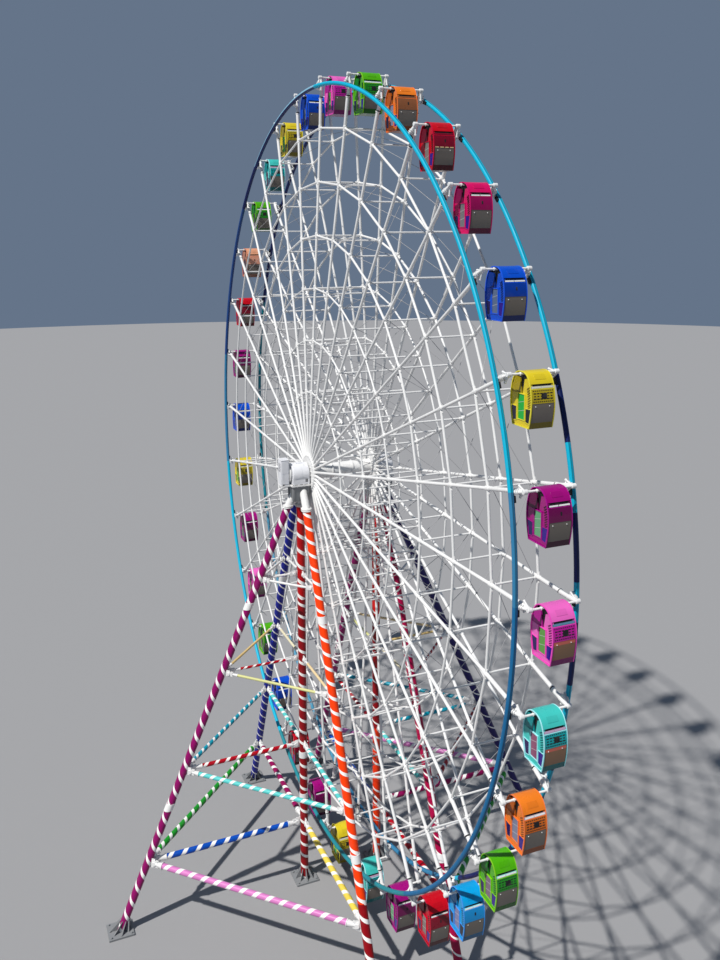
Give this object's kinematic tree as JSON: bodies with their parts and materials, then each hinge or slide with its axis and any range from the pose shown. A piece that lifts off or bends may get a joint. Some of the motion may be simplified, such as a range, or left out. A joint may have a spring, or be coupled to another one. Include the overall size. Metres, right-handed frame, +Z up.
{
  "type": "ferris wheel, half-scale model",
  "caption": "Ferris wheel on two braced tubular towers, with a double-sided spoked lattice, round rim tubes and level-hanging closed cabins.",
  "frame": {"origin": "on the ground, under the middle of the wheel", "axes": "+Z up, the wheel's axle along Y, the wheel's plane along X"},
  "size_m": [21.094, 12.764, 21.685],
  "materials": {
    "white_steel": "satin white paint",
    "rim_blue": "gloss sky blue paint",
    "grey_steel": "satin grey paint",
    "cabin_pink": "gloss paint",
    "cabin_green": "gloss paint",
    "cabin_orange": "gloss paint",
    "cabin_red": "gloss paint",
    "cabin_crimson": "gloss paint",
    "cabin_blue": "gloss paint",
    "cabin_yellow": "gloss paint",
    "cabin_magenta": "gloss paint",
    "cabin_teal": "gloss paint",
    "cabin_sky": "gloss paint",
    "leg_dark_red": "gloss paint with a white spiral band",
    "leg_orange": "gloss paint with a white spiral band",
    "leg_blue": "gloss paint with a white spiral band",
    "leg_magenta": "gloss paint with a white spiral band",
    "leg_orange_far": "gloss paint with a white spiral band",
    "leg_crimson": "gloss paint with a white spiral band",
    "leg_magenta_far": "gloss paint with a white spiral band",
    "leg_navy": "gloss paint with a white spiral band",
    "brace_white": "gloss paint with a white spiral band",
    "brace_yellow": "gloss paint with a white spiral band",
    "brace_teal": "gloss paint with a white spiral band",
    "brace_mixed": "gloss paint with a white spiral band",
    "glass": "smoked clear glazing",
    "dark_trim": "black seal and trim"
  },
  "bodies": {
    "towers": {"post_near": "leg_dark_red", "leg_right_near": "leg_orange", "leg_left_near": "leg_blue", "outrigger_near": "leg_magenta", "braces_near_1": "brace_white", "braces_near_2": "brace_yellow", "braces_near_3": "brace_teal", "braces_near_4": "brace_mixed", "head_near": "grey_steel", "bearing_near": "white_steel", "post_far": "leg_orange_far", "leg_right_far": "leg_crimson", "leg_left_far": "leg_magenta_far", "outrigger_far": "leg_navy", "braces_far_1": "brace_white", "braces_far_2": "brace_yellow", "braces_far_3": "brace_teal", "braces_far_4": "brace_mixed", "head_far": "grey_steel", "bearing_far": "white_steel", "shaft_box": "white_steel"},
    "wheel": {"wheel_side_near": "white_steel", "wheel_side_far": "white_steel", "ties": "white_steel", "rim_near": "rim_blue", "rim_far": "rim_blue", "hub_drum": "white_steel"},
    "cabin_00": {"cabin_00": "cabin_pink"},
    "cabin_01": {"cabin_01": "cabin_green"},
    "cabin_02": {"cabin_02": "cabin_orange"},
    "cabin_03": {"cabin_03": "cabin_red"},
    "cabin_04": {"cabin_04": "cabin_crimson"},
    "cabin_05": {"cabin_05": "cabin_blue"},
    "cabin_06": {"cabin_06": "cabin_yellow"},
    "cabin_07": {"cabin_07": "cabin_magenta"},
    "cabin_08": {"cabin_08": "cabin_pink"},
    "cabin_09": {"cabin_09": "cabin_teal"},
    "cabin_10": {"cabin_10": "cabin_orange"},
    "cabin_11": {"cabin_11": "cabin_green"},
    "cabin_12": {"cabin_12": "cabin_sky"},
    "cabin_13": {"cabin_13": "cabin_red"},
    "cabin_14": {"cabin_14": "cabin_magenta"},
    "cabin_15": {"cabin_15": "cabin_teal"},
    "cabin_16": {"cabin_16": "cabin_yellow"},
    "cabin_17": {"cabin_17": "cabin_magenta"},
    "cabin_18": {"cabin_18": "cabin_red"},
    "cabin_19": {"cabin_19": "cabin_blue"},
    "cabin_20": {"cabin_20": "cabin_green"},
    "cabin_21": {"cabin_21": "cabin_pink"},
    "cabin_22": {"cabin_22": "cabin_magenta"},
    "cabin_23": {"cabin_23": "cabin_yellow"},
    "cabin_24": {"cabin_24": "cabin_blue"},
    "cabin_25": {"cabin_25": "cabin_magenta"},
    "cabin_26": {"cabin_26": "cabin_red"},
    "cabin_27": {"cabin_27": "cabin_orange"},
    "cabin_28": {"cabin_28": "cabin_green"},
    "cabin_29": {"cabin_29": "cabin_teal"},
    "cabin_30": {"cabin_30": "cabin_yellow"},
    "cabin_31": {"cabin_31": "cabin_blue"}
  },
  "joints": [
    {"name": "wheel_spin", "type": "hinge", "parent": "towers", "child": "wheel", "pos_m": [0, 0, 11.425], "axis": [0, 1, 0], "continuous": true},
    {"name": "cabin_00_swing", "type": "hinge", "parent": "wheel", "child": "cabin_00", "pos_m": [0, 0, 21.625], "axis": [0, 1, 0], "continuous": true},
    {"name": "cabin_01_swing", "type": "hinge", "parent": "wheel", "child": "cabin_01", "pos_m": [1.98992, 0, 21.42901], "axis": [0, 1, 0], "continuous": true},
    {"name": "cabin_02_swing", "type": "hinge", "parent": "wheel", "child": "cabin_02", "pos_m": [3.90337, 0, 20.84857], "axis": [0, 1, 0], "continuous": true},
    {"name": "cabin_03_swing", "type": "hinge", "parent": "wheel", "child": "cabin_03", "pos_m": [5.66682, 0, 19.90599], "axis": [0, 1, 0], "continuous": true},
    {"name": "cabin_04_swing", "type": "hinge", "parent": "wheel", "child": "cabin_04", "pos_m": [7.21249, 0, 18.63749], "axis": [0, 1, 0], "continuous": true},
    {"name": "cabin_05_swing", "type": "hinge", "parent": "wheel", "child": "cabin_05", "pos_m": [8.48099, 0, 17.09182], "axis": [0, 1, 0], "continuous": true},
    {"name": "cabin_06_swing", "type": "hinge", "parent": "wheel", "child": "cabin_06", "pos_m": [9.42357, 0, 15.32837], "axis": [0, 1, 0], "continuous": true},
    {"name": "cabin_07_swing", "type": "hinge", "parent": "wheel", "child": "cabin_07", "pos_m": [10.00401, 0, 13.41492], "axis": [0, 1, 0], "continuous": true},
    {"name": "cabin_08_swing", "type": "hinge", "parent": "wheel", "child": "cabin_08", "pos_m": [10.2, 0, 11.425], "axis": [0, 1, 0], "continuous": true},
    {"name": "cabin_09_swing", "type": "hinge", "parent": "wheel", "child": "cabin_09", "pos_m": [10.00401, 0, 9.43508], "axis": [0, 1, 0], "continuous": true},
    {"name": "cabin_10_swing", "type": "hinge", "parent": "wheel", "child": "cabin_10", "pos_m": [9.42357, 0, 7.52163], "axis": [0, 1, 0], "continuous": true},
    {"name": "cabin_11_swing", "type": "hinge", "parent": "wheel", "child": "cabin_11", "pos_m": [8.48099, 0, 5.75818], "axis": [0, 1, 0], "continuous": true},
    {"name": "cabin_12_swing", "type": "hinge", "parent": "wheel", "child": "cabin_12", "pos_m": [7.21249, 0, 4.21251], "axis": [0, 1, 0], "continuous": true},
    {"name": "cabin_13_swing", "type": "hinge", "parent": "wheel", "child": "cabin_13", "pos_m": [5.66682, 0, 2.94401], "axis": [0, 1, 0], "continuous": true},
    {"name": "cabin_14_swing", "type": "hinge", "parent": "wheel", "child": "cabin_14", "pos_m": [3.90337, 0, 2.00143], "axis": [0, 1, 0], "continuous": true},
    {"name": "cabin_15_swing", "type": "hinge", "parent": "wheel", "child": "cabin_15", "pos_m": [1.98992, 0, 1.42099], "axis": [0, 1, 0], "continuous": true},
    {"name": "cabin_16_swing", "type": "hinge", "parent": "wheel", "child": "cabin_16", "pos_m": [0, 0, 1.225], "axis": [0, 1, 0], "continuous": true},
    {"name": "cabin_17_swing", "type": "hinge", "parent": "wheel", "child": "cabin_17", "pos_m": [-1.98992, 0, 1.42099], "axis": [0, 1, 0], "continuous": true},
    {"name": "cabin_18_swing", "type": "hinge", "parent": "wheel", "child": "cabin_18", "pos_m": [-3.90337, 0, 2.00143], "axis": [0, 1, 0], "continuous": true},
    {"name": "cabin_19_swing", "type": "hinge", "parent": "wheel", "child": "cabin_19", "pos_m": [-5.66682, 0, 2.94401], "axis": [0, 1, 0], "continuous": true},
    {"name": "cabin_20_swing", "type": "hinge", "parent": "wheel", "child": "cabin_20", "pos_m": [-7.21249, 0, 4.21251], "axis": [0, 1, 0], "continuous": true},
    {"name": "cabin_21_swing", "type": "hinge", "parent": "wheel", "child": "cabin_21", "pos_m": [-8.48099, 0, 5.75818], "axis": [0, 1, 0], "continuous": true},
    {"name": "cabin_22_swing", "type": "hinge", "parent": "wheel", "child": "cabin_22", "pos_m": [-9.42357, 0, 7.52163], "axis": [0, 1, 0], "continuous": true},
    {"name": "cabin_23_swing", "type": "hinge", "parent": "wheel", "child": "cabin_23", "pos_m": [-10.00401, 0, 9.43508], "axis": [0, 1, 0], "continuous": true},
    {"name": "cabin_24_swing", "type": "hinge", "parent": "wheel", "child": "cabin_24", "pos_m": [-10.2, 0, 11.425], "axis": [0, 1, 0], "continuous": true},
    {"name": "cabin_25_swing", "type": "hinge", "parent": "wheel", "child": "cabin_25", "pos_m": [-10.00401, 0, 13.41492], "axis": [0, 1, 0], "continuous": true},
    {"name": "cabin_26_swing", "type": "hinge", "parent": "wheel", "child": "cabin_26", "pos_m": [-9.42357, 0, 15.32837], "axis": [0, 1, 0], "continuous": true},
    {"name": "cabin_27_swing", "type": "hinge", "parent": "wheel", "child": "cabin_27", "pos_m": [-8.48099, 0, 17.09182], "axis": [0, 1, 0], "continuous": true},
    {"name": "cabin_28_swing", "type": "hinge", "parent": "wheel", "child": "cabin_28", "pos_m": [-7.21249, 0, 18.63749], "axis": [0, 1, 0], "continuous": true},
    {"name": "cabin_29_swing", "type": "hinge", "parent": "wheel", "child": "cabin_29", "pos_m": [-5.66682, 0, 19.90599], "axis": [0, 1, 0], "continuous": true},
    {"name": "cabin_30_swing", "type": "hinge", "parent": "wheel", "child": "cabin_30", "pos_m": [-3.90337, 0, 20.84857], "axis": [0, 1, 0], "continuous": true},
    {"name": "cabin_31_swing", "type": "hinge", "parent": "wheel", "child": "cabin_31", "pos_m": [-1.98992, 0, 21.42901], "axis": [0, 1, 0], "continuous": true}
  ],
  "couplings": [
    {"joint": "cabin_00_swing", "follows": "wheel_spin", "ratio": -1},
    {"joint": "cabin_01_swing", "follows": "wheel_spin", "ratio": -1},
    {"joint": "cabin_02_swing", "follows": "wheel_spin", "ratio": -1},
    {"joint": "cabin_03_swing", "follows": "wheel_spin", "ratio": -1},
    {"joint": "cabin_04_swing", "follows": "wheel_spin", "ratio": -1},
    {"joint": "cabin_05_swing", "follows": "wheel_spin", "ratio": -1},
    {"joint": "cabin_06_swing", "follows": "wheel_spin", "ratio": -1},
    {"joint": "cabin_07_swing", "follows": "wheel_spin", "ratio": -1},
    {"joint": "cabin_08_swing", "follows": "wheel_spin", "ratio": -1},
    {"joint": "cabin_09_swing", "follows": "wheel_spin", "ratio": -1},
    {"joint": "cabin_10_swing", "follows": "wheel_spin", "ratio": -1},
    {"joint": "cabin_11_swing", "follows": "wheel_spin", "ratio": -1},
    {"joint": "cabin_12_swing", "follows": "wheel_spin", "ratio": -1},
    {"joint": "cabin_13_swing", "follows": "wheel_spin", "ratio": -1},
    {"joint": "cabin_14_swing", "follows": "wheel_spin", "ratio": -1},
    {"joint": "cabin_15_swing", "follows": "wheel_spin", "ratio": -1},
    {"joint": "cabin_16_swing", "follows": "wheel_spin", "ratio": -1},
    {"joint": "cabin_17_swing", "follows": "wheel_spin", "ratio": -1},
    {"joint": "cabin_18_swing", "follows": "wheel_spin", "ratio": -1},
    {"joint": "cabin_19_swing", "follows": "wheel_spin", "ratio": -1},
    {"joint": "cabin_20_swing", "follows": "wheel_spin", "ratio": -1},
    {"joint": "cabin_21_swing", "follows": "wheel_spin", "ratio": -1},
    {"joint": "cabin_22_swing", "follows": "wheel_spin", "ratio": -1},
    {"joint": "cabin_23_swing", "follows": "wheel_spin", "ratio": -1},
    {"joint": "cabin_24_swing", "follows": "wheel_spin", "ratio": -1},
    {"joint": "cabin_25_swing", "follows": "wheel_spin", "ratio": -1},
    {"joint": "cabin_26_swing", "follows": "wheel_spin", "ratio": -1},
    {"joint": "cabin_27_swing", "follows": "wheel_spin", "ratio": -1},
    {"joint": "cabin_28_swing", "follows": "wheel_spin", "ratio": -1},
    {"joint": "cabin_29_swing", "follows": "wheel_spin", "ratio": -1},
    {"joint": "cabin_30_swing", "follows": "wheel_spin", "ratio": -1},
    {"joint": "cabin_31_swing", "follows": "wheel_spin", "ratio": -1}
  ]
}
